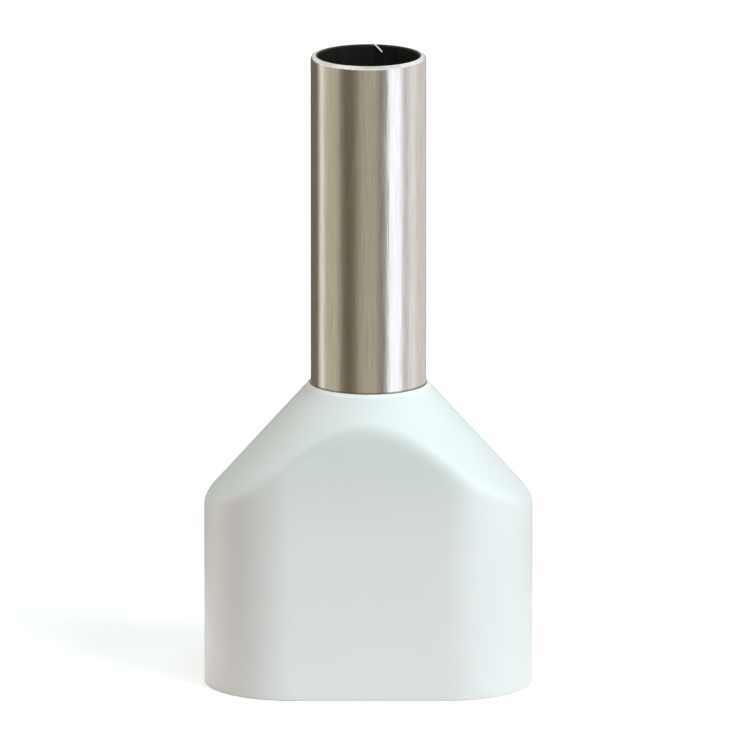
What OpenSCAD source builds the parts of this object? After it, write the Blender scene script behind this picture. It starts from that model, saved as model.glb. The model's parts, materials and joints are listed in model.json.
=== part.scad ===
// Twin wire ferrule: a tin-plated copper sleeve in a moulded plastic collar that takes two insulated wires.
// Millimetres. The origin is the centre of the collar's open mouth, +Z runs up the sleeve to its tip,
// X is the collar's wide direction, in which the two wires lie side by side, and Y is its depth.

/* [Sleeve] */
// Outside diameter of the metal sleeve
sleeve_od = 2.7; // [2:0.05:3]
// Wall of the metal sleeve
sleeve_wall = 0.16; // [0.12:0.01:0.2]
// Length of sleeve that stands out of the collar
pin_len = 7.8; // [6:0.1:18]
// Rounding of the tip's outside edge
tip_round = 0.09; // [0.02:0.01:0.1]
// Rounding of the tip's inside edge, left by the cutter
tip_round_inside = 0.04; // [0.01:0.01:0.06]
// Bend radius between the sleeve and its flared end
flare_bend = 0.15; // [0.05:0.01:0.3]
// How far the flared end stands out past the sleeve, all round
flare_out = 0.3; // [0.25:0.01:0.4]

/* [Collar] */
// Outside width of the collar
collar_w = 7.7; // [7:0.1:9]
// Outside depth of the collar
collar_d = 4.1; // [3.8:0.05:5]
// Length of the collar from its mouth to the neck's edge
collar_len = 7.2; // [6.6:0.1:9]
// Wall of the collar around the wire pocket
collar_wall = 0.35; // [0.3:0.01:0.5]
// Height at which the narrow ends start to slope in
shoulder_h = 4.45; // [3.5:0.05:4.8]
// Wall of the collar at the neck's edge
neck_lip = 0.05; // [0.04:0.01:0.3]
// Rounding of the edges between the slope and the faces below it
crease_round = 0.5; // [0.2:0.05:0.6]
// Width of the lead-in around the inside of the mouth
mouth_lead = 0.12; // [0.05:0.01:0.2]

/* [Fit] */
// Length of the neck's bore that grips the sleeve
grip_len = 1.2; // [0.8:0.05:1.4]
// Gap between the sleeve and the collar that it is pressed into
press_gap = 0; // [0:0.005:0.02]
// Gap around the flared end, which passes up the pocket when the sleeve is pressed in
flare_gap = 0.04; // [0.02:0.01:0.15]
// How far the funnel's foot lies below the outside shoulder
funnel_drop = 0.2; // [0:0.05:0.6]

/* [Hidden] */
metal = [0.74, 0.72, 0.68];
plastic = [0.86, 0.91, 0.91];
// Facets of the rounded outside of the collar, and of the ball that rounds it
shell_fn = 64;
ball_fn = 32;
// Facets of true round surfaces, and segments in a small rounding
round_fn = 96;
arc_steps = 6;
// Overshoot of a cut past the surface that it opens
cut = 0.5;

sleeve_r = sleeve_od / 2;
tip_z = collar_len + pin_len;
flare_r = sleeve_r + flare_out;
// The two edges of the tip share the sleeve's wall
tip_outer = min(tip_round, 0.65 * sleeve_wall);
tip_inner = min(tip_round_inside, 0.3 * sleeve_wall);

pocket_w = collar_w - 2 * collar_wall;
pocket_d = collar_d - 2 * collar_wall;
bore_r = sleeve_r + press_gap;
neck_r = bore_r + neck_lip;

// The slope outside is a cone on the sleeve's axis, from the neck's edge to the shoulders
slope = (collar_w / 2 - neck_r) / (collar_len - shoulder_h);
slope_angle = atan(slope);

// The funnel inside is a cone from the foot of the bore to the narrow ends of the pocket
bore_foot_z = collar_len - grip_len;
funnel_foot_z = shoulder_h - funnel_drop;
funnel_angle = atan((pocket_w / 2 - bore_r) / (bore_foot_z - funnel_foot_z));

// The sleeve's flare and the foot of the bore turn about one centre, then run down the funnel together
bend_centre = [sleeve_r + flare_bend, bore_foot_z + flare_bend * tan(funnel_angle / 2)];
down_flare = [sin(funnel_angle), -cos(funnel_angle)];

// Points on an arc, both ends included
function arc(centre, r, from, to) =
    [for (i = [0:arc_steps]) let (a = from + (to - from) * i / arc_steps) centre + r * [cos(a), sin(a)]];

// The bend's arc at a depth below the sleeve's outside surface, from the sleeve down to the flare
function bend(depth) = arc(bend_centre, flare_bend + depth, 180, 180 + funnel_angle);

// Where the straight line that goes on from that arc reaches a radius
function on_flare(depth, radius) =
    let (start = bend(depth)[arc_steps])
    start + down_flare * (radius - start.x) / down_flare.x;

function reversed(points) = [for (i = [len(points) - 1:-1:0]) points[i]];

// Flat shape with straight long sides and round ends
module stadium(w, d) {
    square([w - d, d], center = true);
    for (side = [-1, 1])
        translate([side * (w - d) / 2, 0])
            circle(d = d);
}

// Lead-in at the foot of a stadium pocket: its wall leans out by lead at z = 0, and goes on below
module stadium_lead(w, d, lead) {
    for (side = [-1, 1])
        translate([side * (w - d) / 2, 0, -lead])
            cylinder(h = 2 * lead, r1 = d / 2 + 2 * lead, r2 = d / 2, $fn = round_fn);
    rotate([90, 0, 90])
        linear_extrude(w - d, center = true)
            polygon([[-d / 2 - 2 * lead, -lead], [d / 2 + 2 * lead, -lead], [d / 2, lead], [-d / 2, lead]]);
}

// Ball with a facet corner at each end of each axis, so that what it rounds keeps its size
module ball(r) {
    rotate_extrude($fn = ball_fn)
        intersection() {
            circle(r = r, $fn = ball_fn);
            translate([0, -r])
                square([r, 2 * r]);
        }
}

// Collar outside before rounding: the stadium and the cone, both set in by the rounding
module collar_core() {
    inset = crease_round / cos(slope_angle);
    foot_z = -crease_round - cut;
    apex_z = collar_len + (neck_r - inset) / slope;
    intersection() {
        translate([0, 0, foot_z])
            linear_extrude(apex_z - foot_z)
                stadium(collar_w - 2 * crease_round, collar_d - 2 * crease_round, $fn = shell_fn);
        translate([0, 0, foot_z])
            cylinder(h = apex_z - foot_z, r1 = (apex_z - foot_z) * slope, r2 = 0, $fn = shell_fn);
    }
}

// Collar outside: flat faces and round ends below, the cone above, and a soft arched edge between them
module collar_outside() {
    intersection() {
        minkowski() {
            collar_core();
            ball(crease_round);
        }
        translate([-collar_w, -collar_w, 0])
            cube([2 * collar_w, 2 * collar_w, collar_len]);
    }
}

// Outline of the wire pocket, and of the way up it for the flared end
module pocket_outline() {
    stadium(pocket_w, pocket_d);
    circle(r = flare_r + flare_gap);
}

// Collar inside: wire pocket with its lead-in, funnel, and the bore that grips the sleeve
module collar_inside() {
    past_pocket = pocket_w / 2 + cut;
    intersection() {
        translate([0, 0, -cut])
            linear_extrude(collar_len + 2 * cut)
                pocket_outline($fn = round_fn);
        rotate_extrude($fn = round_fn)
            polygon(concat(
                [[0, collar_len + cut], [bore_r, collar_len + cut]],
                bend(-press_gap),
                [on_flare(-press_gap, past_pocket), [past_pocket, -cut], [0, -cut]]
            ));
    }
    stadium_lead(pocket_w, pocket_d, mouth_lead);
}

module collar() {
    color(plastic)
        difference() {
            collar_outside();
            collar_inside();
        }
}

module sleeve() {
    end_r = sleeve_wall / 2;
    end_centre = on_flare(end_r, flare_r - end_r);
    color(metal)
        rotate_extrude($fn = round_fn)
            polygon(concat(
                arc([sleeve_r - tip_outer, tip_z - tip_outer], tip_outer, 0, 90),
                arc([sleeve_r - sleeve_wall + tip_inner, tip_z - tip_inner], tip_inner, 90, 180),
                bend(sleeve_wall),
                arc(end_centre, end_r, funnel_angle - 180, funnel_angle),
                reversed(bend(0))
            ));
}

collar();
sleeve();
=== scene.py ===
import json
import math

import bpy
import numpy as np
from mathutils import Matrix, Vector


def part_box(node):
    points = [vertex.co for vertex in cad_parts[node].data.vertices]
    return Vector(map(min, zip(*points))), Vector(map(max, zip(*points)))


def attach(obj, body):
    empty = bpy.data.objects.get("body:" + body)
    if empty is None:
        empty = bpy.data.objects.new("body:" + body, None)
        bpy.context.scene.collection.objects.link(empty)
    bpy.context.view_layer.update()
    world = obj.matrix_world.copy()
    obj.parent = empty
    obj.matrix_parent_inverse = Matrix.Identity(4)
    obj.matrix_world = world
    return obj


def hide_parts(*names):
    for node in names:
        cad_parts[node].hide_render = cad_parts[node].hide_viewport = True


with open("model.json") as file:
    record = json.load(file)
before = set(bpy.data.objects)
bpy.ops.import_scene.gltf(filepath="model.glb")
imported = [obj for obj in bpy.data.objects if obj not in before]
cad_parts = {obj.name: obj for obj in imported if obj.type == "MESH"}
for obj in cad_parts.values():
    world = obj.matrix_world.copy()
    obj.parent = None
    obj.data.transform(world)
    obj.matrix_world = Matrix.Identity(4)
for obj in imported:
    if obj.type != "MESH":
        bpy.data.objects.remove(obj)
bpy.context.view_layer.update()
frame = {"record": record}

MM = 0.001

# Driving sizes, from the frame
collar_low, collar_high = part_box("collar")
_, sleeve_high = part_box("sleeve")
mounts = {mount["name"]: mount for mount in frame["record"]["mounts"]}
BORE_R = mounts["conductor_bore"]["dims"]["r_mm"] * MM
COLLAR_W = collar_high.x - collar_low.x
COLLAR_D = collar_high.y - collar_low.y
COLLAR_LEN = collar_high.z
TIP_Z = sleeve_high.z

# Sleeve: wall, roundings of the tip's two edges, bend into the flare, and how far the flare stands out
SLEEVE_WALL = 0.16 * MM
SLEEVE_R = BORE_R + SLEEVE_WALL
TIP_ROUND = 0.09 * MM
TIP_ROUND_INSIDE = 0.04 * MM
FLARE_BEND = 0.15 * MM
FLARE_OUT = 0.3 * MM

# Collar: walls round the pocket and at the neck, where the slope starts, and the bore and funnel inside
COLLAR_WALL = 0.35 * MM
NECK_LIP = 0.05 * MM
NECK_R = SLEEVE_R + NECK_LIP
SHOULDER_Z = 4.45 * MM
GRIP_LEN = 1.2 * MM
FUNNEL_DROP = 0.2 * MM
MOUTH_LEAD = 0.12 * MM

# Roundings of the collar's edges: the arched crease, the one inside the pocket, the mouth's and the neck's
CREASE_ROUND = 0.5 * MM
POCKET_ROUND = 0.06 * MM
MOUTH_ROUND = 0.03 * MM
LIP_ROUND = 0.033 * MM

# Heights between which painted shade grows on the flat faces below the arch, and how far in from a face it
# shows
ARCH_SHADE_FROM_Z = 3.2 * MM
ARCH_SHADE_FULL_Z = 6.1 * MM
ARCH_SHADE_FADE = (0.16 * MM, 0.02 * MM)

# Heights of the painted highlight on the collar's lip, and of the painted shade line on the sleeve above it
LIP_HIGHLIGHT_BAND = 0.1 * MM
SEAM = 0.05 * MM

# Outside slope and inside funnel, as angles from the sleeve's axis
SLOPE_ANGLE = math.atan((COLLAR_W / 2 - NECK_R) / (COLLAR_LEN - SHOULDER_Z))
POCKET_W = COLLAR_W - 2 * COLLAR_WALL
POCKET_D = COLLAR_D - 2 * COLLAR_WALL
GRIP_Z = COLLAR_LEN - GRIP_LEN
FUNNEL_Z = SHOULDER_Z - FUNNEL_DROP
FUNNEL_ANGLE = math.atan((POCKET_W / 2 - SLEEVE_R) / (GRIP_Z - FUNNEL_Z))
BEND_CENTRE = (SLEEVE_R + FLARE_BEND, GRIP_Z + FLARE_BEND * math.tan(FUNNEL_ANGLE / 2))

# The sleeve's finishes, as places in its list of materials, and how many steps up the tip's outside edge are
# tinned
TINNED, BORE, CUT_EDGE = range(3)
TIP_TINNED_STEPS = 3

# A shred of metal left by the cutter: its root on the far edge of the tip, its end, width and curl. Then, as
# shares of the width: how much it narrows to its end, its thickness, and the blunt point at each end.
BURR_ROOT = Vector((0.14, 1.20, 15.0)) * MM
BURR_END = Vector((0.335, 1.07, 14.83)) * MM
BURR_WIDTH = 0.06 * MM
BURR_CURL = 0.02 * MM
BURR_TAPER = 0.6
BURR_FLATNESS = 0.35
BURR_POINT = 0.05

# Mesh density: columns round each piece, and steps along the arcs and straight runs of its section
SLEEVE_COLUMNS = 512
COLLAR_COLUMNS = 400
BURR_COLUMNS = 12
ARC_STEPS = 10
INNER_TIP_STEPS = 6
LIP_STEPS = 9
BORE_BEND_STEPS = 8
WALL_STEPS = 24
BORE_STEPS = 5
FLARE_STEPS = 3
MOUTH_RINGS = 5
LOWER_RINGS = 14
CREASE_RINGS = 92
FUNNEL_RINGS = 60
POCKET_RINGS = 12
BURR_RINGS = 13

# Where rings lie close to a sharp bend, so that smooth shading leaves the flat beside it flat: a share of a
# straight run, and distances from the mouth's rounding, from the neck's and from the lead-in
NEAR_SHARE = 0.002
NEAR_MOUTH = 0.02 * MM
NEAR_LIP = 0.03 * MM
NEAR_LEAD = 0.05 * MM

# Where the collar's even rings begin and end, and the rings across its lead-in and its rim
LOWER_FROM_Z = 0.3 * MM
FUNNEL_TO_Z = FUNNEL_Z - 0.1 * MM
POCKET_FROM_Z = FUNNEL_Z - 0.2 * MM
LEAD_SHARES = (0.0, 0.15, 0.85)
RIM_OUTSETS = (0.0, 0.02 * MM, 0.17 * MM)

# How often the span is halved in which a rounded wall is sought
HALVINGS = 40

# The photograph's framing, in its pixels: its side, the rows of the object's top and foot, and the column of
# its axis. Then the view that it was taken from.
PHOTO_SIZE = 750
PHOTO_TOP = 44.5
PHOTO_BOTTOM = 700.0
PHOTO_AXIS = 368.5
ELEVATION = math.radians(13)
LENS = 1000.0
SENSOR = 36.0
CLIP_START = 5 * MM
CLIP_END = 10.0

# How much the white surroundings light the object
AMBIENT = 0.03

# The floor: side in metres, colour, and the glow and its colour that only show to the eye and in mirrors
FLOOR_SIZE = 6.0
FLOOR_COLOUR = (0.83, 0.795, 0.795)
FLOOR_GLOW = 0.51
FLOOR_GLOW_COLOUR = (1.0, 0.95, 0.955)


# Outlines, as (radius, height) points

def arc(centre, radius, start, end, steps):
    """Points on an arc, both ends included. Angles are in radians."""
    angles = np.linspace(start, end, steps + 1)
    return [(centre[0] + radius * math.cos(a), centre[1] + radius * math.sin(a)) for a in angles]


def straight(start, end, steps):
    """Points between two ends, the ends left out, with a close one next to each end."""
    shares = [NEAR_SHARE, *np.linspace(0, 1, steps + 1)[1:-1], 1 - NEAR_SHARE]
    return [tuple((1 - s) * a + s * b for a, b in zip(start, end)) for s in shares]


def bend(depth, steps=ARC_STEPS):
    """The arc from the sleeve's straight wall to its flare, at a depth below the outside surface."""
    return arc(BEND_CENTRE, FLARE_BEND + depth, math.pi, math.pi + FUNNEL_ANGLE, steps)


def on_flare(depth, radius):
    """Where the straight line that goes on from that arc reaches a radius."""
    start_r, start_z = bend(depth)[-1]
    return radius, start_z - (radius - start_r) / math.tan(FUNNEL_ANGLE)


def sleeve_outline():
    """The sleeve's section, up the outside from the flare to the tip and down the bore.

    Returns the points, and the finish of the face that starts at each of them."""
    half = SLEEVE_WALL / 2
    end_centre = on_flare(half, SLEEVE_R + FLARE_OUT - half)
    flare_end = arc(end_centre, half, FUNNEL_ANGLE - math.pi, FUNNEL_ANGLE, ARC_STEPS)
    outer_bend = bend(0)[::-1]
    tip_outer = arc((SLEEVE_R - TIP_ROUND, TIP_Z - TIP_ROUND), TIP_ROUND, 0, math.pi / 2, ARC_STEPS)
    tip_inner_centre = (BORE_R + TIP_ROUND_INSIDE, TIP_Z - TIP_ROUND_INSIDE)
    tip_inner = arc(tip_inner_centre, TIP_ROUND_INSIDE, math.pi / 2, math.pi, INNER_TIP_STEPS)
    inner_bend = bend(SLEEVE_WALL)
    parts = [
        (TINNED, [*flare_end, *straight(flare_end[-1], outer_bend[0], FLARE_STEPS)]),
        (TINNED, [*outer_bend, *straight(outer_bend[-1], tip_outer[0], WALL_STEPS)]),
        (TINNED, tip_outer[:TIP_TINNED_STEPS]),
        (CUT_EDGE, tip_outer[TIP_TINNED_STEPS:]),
        # The bore's near-black painted shade runs on over the inner rounding of the tip
        (BORE, [*tip_inner, *straight(tip_inner[-1], inner_bend[0], WALL_STEPS)]),
        (TINNED, [*inner_bend, *straight(inner_bend[-1], flare_end[0], FLARE_STEPS)]),
    ]
    points = [point for _, part in parts for point in part]
    finishes = [finish for finish, part in parts for _ in part]
    return points, finishes


# Meshes

def smooth_piece(name, verts, faces):
    """A smooth-shaded piece from a mesh's corners and faces."""
    mesh = bpy.data.meshes.new(name)
    mesh.from_pydata(verts, [], faces)
    mesh.update()
    piece = bpy.data.objects.new(name, mesh)
    bpy.context.scene.collection.objects.link(piece)
    mesh.polygons.foreach_set("use_smooth", [True] * len(mesh.polygons))
    return piece


def closed_piece(name, rings):
    """A closed skin over rings of points, in which the last ring meets the first and each ring meets itself."""
    rows, columns, _ = rings.shape
    row, column = np.meshgrid(np.arange(rows), np.arange(columns), indexing="ij")
    next_row, next_column = (row + 1) % rows, (column + 1) % columns
    faces = np.stack([
        row * columns + column, row * columns + next_column,
        next_row * columns + next_column, next_row * columns + column,
    ], axis=-1).reshape(-1, 4)
    return smooth_piece(name, rings.reshape(-1, 3).tolist(), faces.tolist())


def capped_piece(name, rings):
    """A closed skin over a row of rings, with a flat cap on each end ring."""
    count = len(rings[0])
    verts = [tuple(point) for ring in rings for point in ring]
    faces = [tuple(range(count))[::-1], tuple(range(len(verts) - count, len(verts)))]
    for start in range(0, len(verts) - count, count):
        for i in range(count):
            j = (i + 1) % count
            faces.append((start + i, start + j, start + count + j, start + count + i))
    return smooth_piece(name, verts, faces)


def even_turns(columns):
    """Directions that lie evenly round Z."""
    return np.linspace(0, 2 * math.pi, columns, endpoint=False)


def round_z(turn, radius, height):
    """Points at given directions round Z, distances from it and heights."""
    return np.stack([radius * np.cos(turn), radius * np.sin(turn), height + 0 * turn], axis=-1)


def swept(points, turn):
    """Rings of points from a section, at given directions round Z."""
    section = np.array(points)
    return round_z(turn, section[:, 0, None], section[:, 1, None])


def stadium_radius(turn, width, depth):
    """Distance from the axis to a stadium's outline, along each direction."""
    end = (width - depth) / 2
    flat = depth / 2 / np.maximum(np.abs(np.sin(turn)), 1e-9)
    c, s = np.abs(np.cos(turn)), np.sin(turn)
    round_end = end * c + np.sqrt(np.maximum((depth / 2) ** 2 - (end * s) ** 2, 0))
    return np.where(flat * c <= end, flat, round_end)


def stadium_turns(columns):
    """Directions that space points evenly round the collar's outline."""
    end, radius = (COLLAR_W - COLLAR_D) / 2, COLLAR_D / 2
    side, cap = 2 * end, math.pi * radius
    along = np.linspace(0, 2 * (side + cap), columns, endpoint=False)
    turns = []
    for s in along:
        half, s = divmod(s + cap / 2, side + cap)
        if s < cap:
            a = s / radius - math.pi / 2
            x, y = end + radius * math.cos(a), radius * math.sin(a)
        else:
            x, y = end - (s - cap), radius
        turns.append(math.atan2(y, x) + half * math.pi)
    return np.array(turns)


def rounded_meeting(a, b, cos_between, radius):
    """Distance outside two surfaces that meet in a rounded edge, from the distances outside each of them."""
    a, b = a + radius, b + radius
    sin_squared = np.maximum(1 - cos_between ** 2, 1e-9)
    corner = np.sqrt(np.maximum(a * a + b * b - 2 * a * b * cos_between, 0) / sin_squared)
    return np.where(b <= a * cos_between, a, np.where(a <= b * cos_between, b, corner)) - radius


def meeting_radius(turn, height, width, depth, cone_r, cone_angle, radius):
    """Distance from the axis to a stadium wall met by a cone in a rounded edge, at each direction and height.

    It is found by halving the span between the axis and a point outside both."""
    end = (width - depth) / 2
    low, high = np.zeros_like(turn + height), np.full_like(turn + height, width)
    for _ in range(HALVINGS):
        r = (low + high) / 2
        x, y = r * np.cos(turn), r * np.sin(turn)
        over = np.sign(x) * np.maximum(np.abs(x) - end, 0)
        reach = np.maximum(np.hypot(over, y), 1e-12)
        to_wall = reach - depth / 2
        to_cone = (r - cone_r(height)) * math.cos(cone_angle)
        facing = (over * np.cos(turn) + y * np.sin(turn)) / reach
        outside = rounded_meeting(to_wall, to_cone, facing * math.cos(cone_angle), radius) > 0
        low, high = np.where(outside, low, r), np.where(outside, r, high)
    return (low + high) / 2


def slope_radius(height):
    """Radius of the cone outside the collar at a height."""
    return NECK_R + (COLLAR_LEN - height) * math.tan(SLOPE_ANGLE)


def funnel_radius(height):
    """Radius of the bore, its bend and the funnel inside the collar at a height."""
    centre_r, centre_z = BEND_CENTRE
    foot_r, foot_z = bend(0)[-1]
    drop = np.clip(centre_z - height, 0, FLARE_BEND)
    on_bend = centre_r - np.sqrt(FLARE_BEND ** 2 - drop ** 2)
    below = foot_r + (foot_z - height) * math.tan(FUNNEL_ANGLE)
    return np.where(height >= foot_z, on_bend, below)


def collar_rings():
    """The collar's skin, from the mouth's outside edge up to the neck and back down the inside."""
    turn = stadium_turns(COLLAR_COLUMNS)

    def stadium_ring(width, depth, outset, height):
        """A ring along a stadium's outline moved outward all round, at a height."""
        return round_z(turn, stadium_radius(turn, width + 2 * outset, depth + 2 * outset), height)

    def rings_at(heights, *meeting):
        """Rings along a wall that a cone meets, at each height."""
        heights = np.array(heights)[:, None]
        return round_z(turn, meeting_radius(turn[None], heights, *meeting), heights)

    mouth_edge = [
        stadium_ring(COLLAR_W, COLLAR_D, (math.cos(a) - 1) * MOUTH_ROUND, (1 - math.sin(a)) * MOUTH_ROUND)
        for a in np.linspace(math.pi / 2, 0, MOUTH_RINGS)
    ]

    crease_low, crease_high = SHOULDER_Z - CREASE_ROUND / 2, COLLAR_LEN - LIP_ROUND - NEAR_LIP
    outside_heights = [
        MOUTH_ROUND + NEAR_MOUTH,
        *np.linspace(LOWER_FROM_Z, crease_low, LOWER_RINGS, endpoint=False),
        *np.linspace(crease_low, crease_high, CREASE_RINGS),
    ]
    outside = rings_at(outside_heights, COLLAR_W, COLLAR_D, slope_radius, SLOPE_ANGLE, CREASE_ROUND)

    lip_centre = (
        NECK_R + LIP_ROUND * math.tan(SLOPE_ANGLE) - LIP_ROUND / math.cos(SLOPE_ANGLE),
        COLLAR_LEN - LIP_ROUND,
    )
    lip = arc(lip_centre, LIP_ROUND, SLOPE_ANGLE, math.pi, LIP_STEPS)
    bore = straight((SLEEVE_R, lip[-1][1]), bend(0)[0], BORE_STEPS)
    bore_to_bend = swept([*lip, *bore, *bend(0, BORE_BEND_STEPS)[:-1]], turn)

    funnel_top = bend(0)[-1][1]
    inside_heights = [
        *np.linspace(funnel_top, FUNNEL_TO_Z, FUNNEL_RINGS),
        *np.linspace(POCKET_FROM_Z, MOUTH_LEAD + NEAR_LEAD, POCKET_RINGS),
    ]
    inside = rings_at(inside_heights, POCKET_W, POCKET_D, funnel_radius, FUNNEL_ANGLE, POCKET_ROUND)
    lead = [
        stadium_ring(POCKET_W, POCKET_D, share * MOUTH_LEAD, (1 - share) * MOUTH_LEAD)
        for share in LEAD_SHARES
    ]
    rim = [stadium_ring(POCKET_W, POCKET_D, MOUTH_LEAD + outset, 0) for outset in RIM_OUTSETS]
    return np.concatenate([mouth_edge, outside, bore_to_bend, inside, lead, rim])


# Materials

# Colours: the drawn tin and the painted shade of the seam on it, the cut edge and its dull patches, the bore
# painted near black as shade, and the plastic with its painted shade below the arch and its painted highlight
# on the lip. Where there are two, a noise mixes them.
TIN = (0.77, 0.755, 0.72), (0.89, 0.875, 0.85)
PAINTED_SEAM_SHADE = (0.26, 0.20, 0.15)
CUT = (0.73, 0.70, 0.65), (1.0, 0.99, 0.98)
DULL_CUT = (0.50, 0.48, 0.43)
PAINTED_BORE_SHADE = (0.012, 0.011, 0.010), (0.03, 0.028, 0.026)
PLASTIC = (0.80, 0.86, 0.86), (0.85, 0.89, 0.885)
ARCH_SHADE_PLASTIC = (0.73, 0.80, 0.79)
LIP_HIGHLIGHT = (0.98, 0.99, 0.97)

# The range in which most of a noise texture's values lie
NOISE_MIDDLE = (0.3, 0.7)


def material(name, metallic=0.0, roughness=0.4):
    """A Principled material with no other nodes yet. Returns the material, its nodes, links and shader."""
    made = bpy.data.materials.new(name)
    made.use_nodes = True
    tree = made.node_tree
    shader = tree.nodes["Principled BSDF"]
    shader.inputs["Metallic"].default_value = metallic
    shader.inputs["Roughness"].default_value = roughness
    return made, tree.nodes, tree.links, shader


def noise(nodes, links, scale, detail=4.0, stretch=(1, 1, 1)):
    """Noise in the object's own space, with scale in features per metre."""
    place = nodes.new("ShaderNodeTexCoord")
    mapping = nodes.new("ShaderNodeMapping")
    mapping.inputs["Scale"].default_value = stretch
    texture = nodes.new("ShaderNodeTexNoise")
    texture.inputs["Scale"].default_value = scale
    texture.inputs["Detail"].default_value = detail
    links.new(place.outputs["Object"], mapping.inputs["Vector"])
    links.new(mapping.outputs["Vector"], texture.inputs["Vector"])
    return texture.outputs["Fac"]


def position(nodes, links):
    """A point's place in the object's own space, as outputs X, Y and Z."""
    place = nodes.new("ShaderNodeTexCoord")
    split = nodes.new("ShaderNodeSeparateXYZ")
    links.new(place.outputs["Object"], split.inputs["Vector"])
    return split.outputs


def map_range(nodes, links, value, given, wanted, smooth=False):
    """Maps a value from one range to another, straight or in a smooth step."""
    node = nodes.new("ShaderNodeMapRange")
    node.interpolation_type = "SMOOTHSTEP" if smooth else "LINEAR"
    node.inputs["From Min"].default_value, node.inputs["From Max"].default_value = given
    node.inputs["To Min"].default_value, node.inputs["To Max"].default_value = wanted
    links.new(value, node.inputs["Value"])
    return node.outputs["Result"]


def spread(nodes, links, value, low, high):
    """Spreads noise from its middle range to low..high."""
    return map_range(nodes, links, value, NOISE_MIDDLE, (low, high))


def step(nodes, links, value, low, high):
    """A smooth step from 0 at low to 1 at high."""
    return map_range(nodes, links, value, (low, high), (0, 1), smooth=True)


def maths(nodes, links, operation, *values):
    """A Math node on one or two values."""
    node = nodes.new("ShaderNodeMath")
    node.operation = operation
    for value, socket in zip(values, node.inputs):
        links.new(value, socket)
    return node.outputs[0]


def tint(nodes, links, value, first, second):
    """Goes from the first colour, which may be an output, to the second as a value goes from 0 to 1."""
    mix = nodes.new("ShaderNodeMix")
    mix.data_type = "RGBA"
    if isinstance(first, tuple):
        mix.inputs["A"].default_value = (*first, 1)
    else:
        links.new(first, mix.inputs["A"])
    mix.inputs["B"].default_value = (*second, 1)
    links.new(value, mix.inputs["Factor"])
    return mix.outputs["Result"]


def bump(nodes, links, shader, height, depth, strength):
    """Bump of a given depth in metres, added to what the shader already has."""
    node = nodes.new("ShaderNodeBump")
    node.inputs["Strength"].default_value = strength
    node.inputs["Distance"].default_value = depth
    links.new(height, node.inputs["Height"])
    before = shader.inputs["Normal"].links
    if before:
        links.new(before[0].from_socket, node.inputs["Normal"])
    links.new(node.outputs["Normal"], shader.inputs["Normal"])


def tinned_metal():
    """Drawn tube with a matt tin finish: fine lines and short strokes along its length, and a slight waviness.

    A thin dark line of painted shade lies where it leaves the collar."""
    made, nodes, links, shader = material("tinned_metal", metallic=1.0)
    waves = noise(nodes, links, scale=2200, detail=1.0, stretch=(1, 1, 0.35))
    lines = noise(nodes, links, scale=9000, detail=3.0, stretch=(1, 1, 0.012))
    strokes = noise(nodes, links, scale=14000, detail=3.0, stretch=(1, 1, 0.08))
    height = position(nodes, links)["Z"]
    # Painted shade: a thin dark band on the sleeve just above the collar's lip, where the two meet
    below_top = step(nodes, links, height, low=COLLAR_LEN + SEAM, high=COLLAR_LEN)
    above_foot = step(nodes, links, height, low=COLLAR_LEN - 2 * SEAM, high=COLLAR_LEN - SEAM)
    seam_shade = maths(nodes, links, "MULTIPLY", below_top, above_foot)
    drawn = tint(nodes, links, spread(nodes, links, strokes, low=0, high=1), *TIN)
    links.new(tint(nodes, links, seam_shade, drawn, PAINTED_SEAM_SHADE), shader.inputs["Base Color"])
    links.new(spread(nodes, links, lines, low=0.17, high=0.24), shader.inputs["Roughness"])
    bump(nodes, links, shader, waves, depth=0.010 * MM, strength=0.5)
    bump(nodes, links, shader, lines, depth=0.0025 * MM, strength=0.5)
    bump(nodes, links, shader, strokes, depth=0.004 * MM, strength=0.5)
    return made


def cut_metal():
    """The tip's edge, as rough as the cutter left it, and dull in patches."""
    made, nodes, links, shader = material("cut_metal", metallic=1.0, roughness=0.3)
    grain = noise(nodes, links, scale=16000, detail=3.0)
    patches = noise(nodes, links, scale=1300, detail=1.0)
    edge = tint(nodes, links, spread(nodes, links, grain, low=0, high=1), *CUT)
    patched = tint(nodes, links, spread(nodes, links, patches, low=-0.35, high=0.6), edge, DULL_CUT)
    links.new(patched, shader.inputs["Base Color"])
    bump(nodes, links, shader, grain, depth=0.006 * MM, strength=0.6)
    return made


def shaded_bore_metal():
    """The bore's dull inside wall, painted near black as shade of the deep bore."""
    made, nodes, links, shader = material("shaded_bore_metal", metallic=0.6)
    grain = noise(nodes, links, scale=5000, detail=4.0, stretch=(1, 1, 0.1))
    # Painted shade: the bore's colour is near black, as the deep tube's shade
    links.new(tint(nodes, links, grain, *PAINTED_BORE_SHADE), shader.inputs["Base Color"])
    links.new(spread(nodes, links, grain, low=0.45, high=0.6), shader.inputs["Roughness"])
    return made


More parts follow.
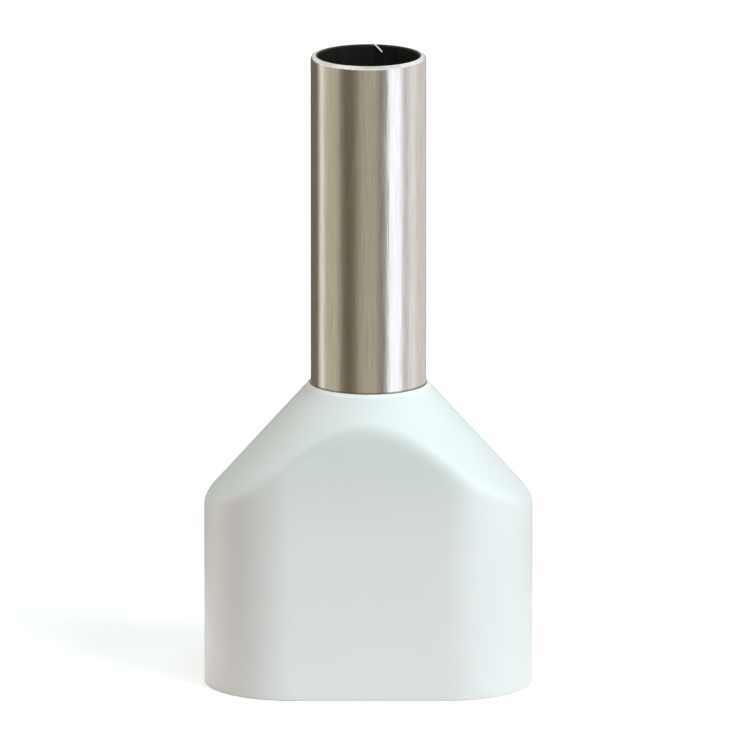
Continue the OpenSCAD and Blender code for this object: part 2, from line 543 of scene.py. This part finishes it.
def white_plastic():
    """Moulded collar: white plastic with a faint cyan tint, that light enters a little.

    Its thin lip is painted paler, as a painted highlight. Its flat faces are painted a little darker below the
    arch, as painted shade under the crease."""
    made, nodes, links, shader = material("white_plastic")
    shader.inputs["IOR"].default_value = 1.49
    shader.inputs["Subsurface Weight"].default_value = 0.25
    shader.inputs["Subsurface Radius"].default_value = (1.0, 1.0, 1.0)
    shader.inputs["Subsurface Scale"].default_value = 0.35 * MM
    place = position(nodes, links)
    off_middle = maths(nodes, links, "ABSOLUTE", place["Y"])
    # Painted shade: the flat faces are darker below the arch, under the crease
    on_face = step(nodes, links, off_middle, *(COLLAR_D / 2 - inset for inset in ARCH_SHADE_FADE))
    near_arch = step(nodes, links, place["Z"], low=ARCH_SHADE_FROM_Z, high=ARCH_SHADE_FULL_Z)
    thick = maths(nodes, links, "MULTIPLY", on_face, near_arch)
    # Painted highlight: the collar's lip is paler, where its rounded edge catches the light
    lip = step(nodes, links, place["Z"], low=COLLAR_LEN - LIP_HIGHLIGHT_BAND, high=COLLAR_LEN - LIP_HIGHLIGHT_BAND / 2)
    body = tint(nodes, links, noise(nodes, links, scale=420, detail=3.0), *PLASTIC)
    body = tint(nodes, links, thick, body, ARCH_SHADE_PLASTIC)
    links.new(tint(nodes, links, lip, body, LIP_HIGHLIGHT), shader.inputs["Base Color"])
    grain = noise(nodes, links, scale=14000, detail=2.0)
    links.new(spread(nodes, links, grain, low=0.33, high=0.42), shader.inputs["Roughness"])
    bump(nodes, links, shader, grain, depth=0.0015 * MM, strength=0.3)
    return made


# Pieces

def make_sleeve():
    """The sleeve's skin: tinned outside, painted dark as shade in the bore, rough at the tip's edge."""
    points, finishes = sleeve_outline()
    piece = closed_piece("sleeve_skin", swept(points, even_turns(SLEEVE_COLUMNS)))
    for made in (tinned_metal(), shaded_bore_metal(), cut_metal()):
        piece.data.materials.append(made)
    face_finishes = np.repeat(finishes, SLEEVE_COLUMNS).astype(np.int32)
    piece.data.polygons.foreach_set("material_index", face_finishes)
    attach(piece, "root")
    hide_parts("sleeve")


def make_burr():
    """The shred of metal at the tip: a flat, slightly curled sliver that narrows to its end."""
    along = BURR_END - BURR_ROOT
    across = Vector((0, 1, 0)).cross(along).normalized()
    outward = along.cross(across).normalized()
    rings = []
    for share in np.linspace(0, 1, BURR_RINGS):
        wide = BURR_WIDTH / 2 * (1 - BURR_TAPER * share ** 2) * (BURR_POINT if share in (0, 1) else 1)
        thick = wide * BURR_FLATNESS
        centre = BURR_ROOT + along * share + outward * BURR_CURL * math.sin(math.pi * share)
        rings.append([
            centre + across * wide * math.cos(t) + outward * thick * math.sin(t)
            for t in even_turns(BURR_COLUMNS)
        ])
    piece = capped_piece("burr", rings)
    piece.data.materials.append(cut_metal())
    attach(piece, "root")


def make_collar():
    """The collar's skin."""
    piece = closed_piece("collar_skin", collar_rings())
    piece.data.materials.append(white_plastic())
    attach(piece, "root")
    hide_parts("collar")


# Studio

# Cards round the object that only the metal and the gloss mirror: azimuths from and to, and softness of the
# edges, all in degrees, then colour and level. Azimuth 0 is the camera's side and 90 is +X. A later card stands
# a little nearer, and so lies over an earlier one.
CARDS = {
    "wall_front": (-62, 62, 20, (1.0, 0.905, 0.69), 0.42),
    "wall_left": (-124, -54, 26, (1.0, 0.925, 0.69), 0.49),
    "wall_right": (49, 168, 14, (1.0, 0.945, 0.935), 0.68),
    "glow_right": (84, 106, 16, (1.0, 0.955, 0.94), 0.86),
    "wall_back": (-190, -111.5, 9, (1.0, 0.93, 0.70), 0.15),
    "flag_back": (156, 180, 10, (1.0, 0.95, 0.88), 0.30),
    "glow_left": (-108.5, -93.5, 8, (1.0, 1.0, 0.88), 0.86),
    "flag_left": (-55, -21.5, 28, (1.0, 0.83, 0.55), 0.13),
    "flag_right": (18.5, 33, 8, (1.0, 0.93, 0.84), 0.22),
    "softbox": (37, 65.5, 5, (0.92, 0.93, 1.0), 1.28),
    "flag_edge": (74, 79, 5, (1.0, 0.97, 0.94), 0.42),
}
CARD_RADIUS = 12 * MM
CARD_HEIGHT = 17 * MM
CARD_GAP = 0.1 * MM
CARD_POINTS = 41

# Soft round lamps that only light: azimuth and height in degrees, watts and colour
LAMPS = {
    "key": (50, 35, 0.43, (1.0, 0.95, 0.97)),
    "top": (20, 75, 0.21, (0.60, 1.0, 0.96)),
    "back_left": (-120, 20, 0.21, (0.95, 1.0, 0.96)),
    "bounce_left": (-70, 5, 0.11, (1.0, 0.25, 0.12)),
    "back": (180, 15, 0.13, (1.0, 0.95, 0.97)),
}
LAMP_DISTANCE = 240 * MM
LAMP_SIZE = 120 * MM


def stage_object(name, verts, faces, made):
    """A piece of the studio."""
    mesh = bpy.data.meshes.new(name)
    mesh.from_pydata(verts, [], faces)
    mesh.materials.append(made)
    placed = bpy.data.objects.new(name, mesh)
    bpy.context.scene.collection.objects.link(placed)
    return placed


def empty_material(name):
    """A material with only its output. Returns the material, its nodes, links and output."""
    made = bpy.data.materials.new(name)
    made.use_nodes = True
    nodes = made.node_tree.nodes
    nodes.clear()
    return made, nodes, made.node_tree.links, nodes.new("ShaderNodeOutputMaterial")


def card_material(name, colour, level):
    """A glow that thins out where the card's cover does."""
    made, nodes, links, out = empty_material(name)
    glow = nodes.new("ShaderNodeEmission")
    glow.inputs["Color"].default_value = (*colour, 1)
    glow.inputs["Strength"].default_value = level
    clear = nodes.new("ShaderNodeBsdfTransparent")
    cover = nodes.new("ShaderNodeAttribute")
    cover.attribute_name = "cover"
    mix = nodes.new("ShaderNodeMixShader")
    links.new(cover.outputs["Fac"], mix.inputs["Fac"])
    links.new(clear.outputs[0], mix.inputs[1])
    links.new(glow.outputs[0], mix.inputs[2])
    links.new(mix.outputs[0], out.inputs["Surface"])
    return made


def smooth_step(share):
    """A share from 0 to 1, eased at both ends."""
    share = np.clip(share, 0, 1)
    return share * share * (3 - 2 * share)


def make_card(name, radius, start, stop, soft, colour, level):
    """A curved upright card, whose cover goes from nothing at its edges to full past its soft borders.

    The cards only show in mirrors: they cast no shadow and light nothing."""
    azimuths = np.linspace(start - soft / 2, stop + soft / 2, CARD_POINTS)
    cover = smooth_step(np.minimum(azimuths - azimuths[0], azimuths[-1] - azimuths) / soft)
    turns = np.radians(azimuths)
    verts = [(radius * math.sin(a), -radius * math.cos(a), z) for z in (0, CARD_HEIGHT) for a in turns]
    count = len(turns)
    faces = [(i, i + 1, i + count + 1, i + count) for i in range(count - 1)]
    card = stage_object(name, verts, faces, card_material(name, colour, level))
    layer = card.data.attributes.new("cover", "FLOAT", "POINT")
    layer.data.foreach_set("value", np.tile(cover, 2))
    card.visible_camera = False
    card.visible_diffuse = False
    card.visible_shadow = False


def make_lamp(name, azimuth, rise, energy, colour):
    """A round soft lamp that looks at the object. It lights, and isn't mirrored."""
    data = bpy.data.lights.new(name, "AREA")
    data.shape = "DISK"
    data.size = LAMP_SIZE
    data.energy = energy
    data.color = colour
    placed = bpy.data.objects.new(name, data)
    a, e = math.radians(azimuth), math.radians(rise)
    away = Vector((math.sin(a) * math.cos(e), -math.cos(a) * math.cos(e), math.sin(e)))
    placed.location = Vector((0, 0, TIP_Z / 2)) + away * LAMP_DISTANCE
    placed.rotation_euler = (-away).to_track_quat("-Z", "Y").to_euler()
    placed.visible_camera = False
    placed.visible_glossy = False
    bpy.context.scene.collection.objects.link(placed)


def seen_directly(nodes, links, low, high):
    """A level that is high for camera, glossy and transmission rays and low for the rest."""
    path = nodes.new("ShaderNodeLightPath")
    seen = path.outputs["Is Camera Ray"]
    for ray in ("Is Glossy Ray", "Is Transmission Ray"):
        seen = maths(nodes, links, "MAXIMUM", seen, path.outputs[ray])
    return map_range(nodes, links, seen, (0, 1), (low, high))


def make_world():
    """White surroundings, which light the object less than they show."""
    world = bpy.data.worlds.new("studio")
    bpy.context.scene.world = world
    world.use_nodes = True
    nodes, links = world.node_tree.nodes, world.node_tree.links
    back = nodes["Background"]
    back.inputs["Color"].default_value = (1, 1, 1, 1)
    links.new(seen_directly(nodes, links, AMBIENT, 1.0), back.inputs["Strength"])


def make_floor():
    """A white floor that shows the object's shadow."""
    made, nodes, links, out = empty_material("floor")
    matt = nodes.new("ShaderNodeBsdfDiffuse")
    matt.inputs["Color"].default_value = (*FLOOR_COLOUR, 1)
    glow = nodes.new("ShaderNodeEmission")
    glow.inputs["Color"].default_value = (*FLOOR_GLOW_COLOUR, 1)
    both = nodes.new("ShaderNodeAddShader")
    links.new(seen_directly(nodes, links, 0.0, FLOOR_GLOW), glow.inputs["Strength"])
    links.new(matt.outputs[0], both.inputs[0])
    links.new(glow.outputs[0], both.inputs[1])
    links.new(both.outputs[0], out.inputs["Surface"])
    half = FLOOR_SIZE / 2
    corners = [(-half, -half, 0), (half, -half, 0), (half, half, 0), (-half, half, 0)]
    stage_object("floor", corners, [(0, 1, 2, 3)], made)


def make_studio():
    """Floor, surroundings, cards and lamps."""
    make_world()
    make_floor()
    for order, (name, card) in enumerate(CARDS.items()):
        make_card(name, CARD_RADIUS - order * CARD_GAP, *card)
    for name, lamp in LAMPS.items():
        make_lamp(name, *lamp)


def make_camera():
    """A long lens at the photograph's viewing angle, framed so that the object fills the same rows."""
    span = TIP_Z * math.cos(ELEVATION) + (SLEEVE_R + COLLAR_D / 2) * math.sin(ELEVATION)
    pixel = span / (PHOTO_BOTTOM - PHOTO_TOP)
    distance = PHOTO_SIZE * pixel * LENS / SENSOR
    up = Vector((0, math.sin(ELEVATION), math.cos(ELEVATION)))
    back = Vector((0, -math.cos(ELEVATION), math.sin(ELEVATION)))
    lowest = -COLLAR_D / 2 * math.sin(ELEVATION)
    rise = lowest + (PHOTO_BOTTOM - PHOTO_SIZE / 2) * pixel
    aside = (PHOTO_SIZE / 2 - PHOTO_AXIS) * pixel
    data = bpy.data.cameras.new("camera")
    data.lens = LENS
    data.sensor_width = SENSOR
    data.clip_start = CLIP_START
    data.clip_end = CLIP_END
    camera = bpy.data.objects.new("camera", data)
    camera.location = Vector((aside, 0, 0)) + up * rise + back * distance
    camera.rotation_euler = (-back).to_track_quat("-Z", "Y").to_euler()
    bpy.context.scene.collection.objects.link(camera)
    bpy.context.scene.camera = camera


make_sleeve()
make_burr()
make_collar()
make_studio()
make_camera()
bpy.context.scene.view_settings.view_transform = "Standard"
